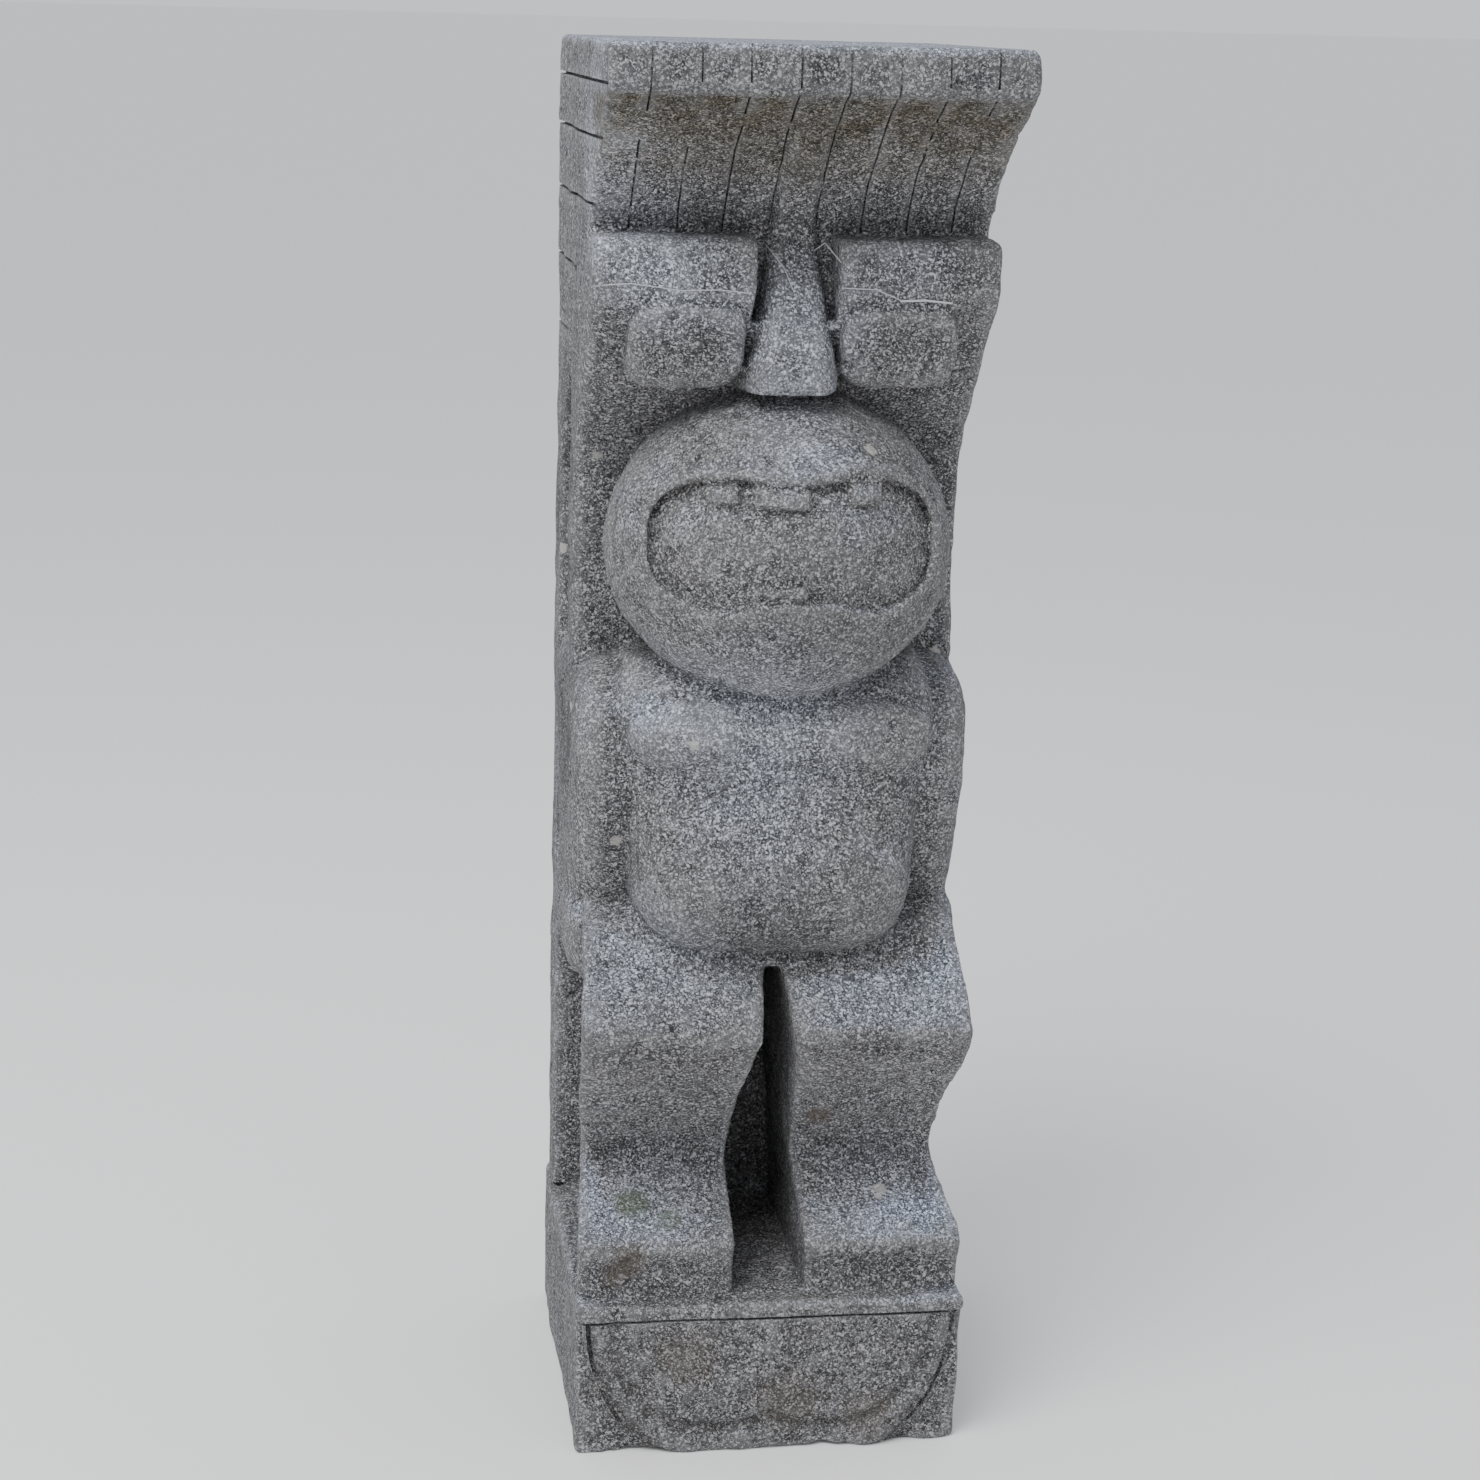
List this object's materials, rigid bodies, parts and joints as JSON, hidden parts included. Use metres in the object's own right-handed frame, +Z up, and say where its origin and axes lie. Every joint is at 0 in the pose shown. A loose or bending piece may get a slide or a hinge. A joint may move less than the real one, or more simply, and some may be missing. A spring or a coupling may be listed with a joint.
{
  "type": "tiki statue",
  "caption": "Carved grey lava stone tiki statue with a grooved slab headdress, square eyes, a ball muzzle with bared teeth, arms at the sides and a square foot block.",
  "frame": {"origin": "centre of the bounding box in plan, at the ground under the foot block", "axes": "+Z up along the statue's height, -Y out of its face, +X to the right of a viewer who faces it"},
  "size_m": [0.4306, 0.534, 1.5],
  "materials": {
    "stone": "rough carved, weathered"
  },
  "bodies": {
    "root": {"tiki_statue": "stone"}
  },
  "joints": []
}
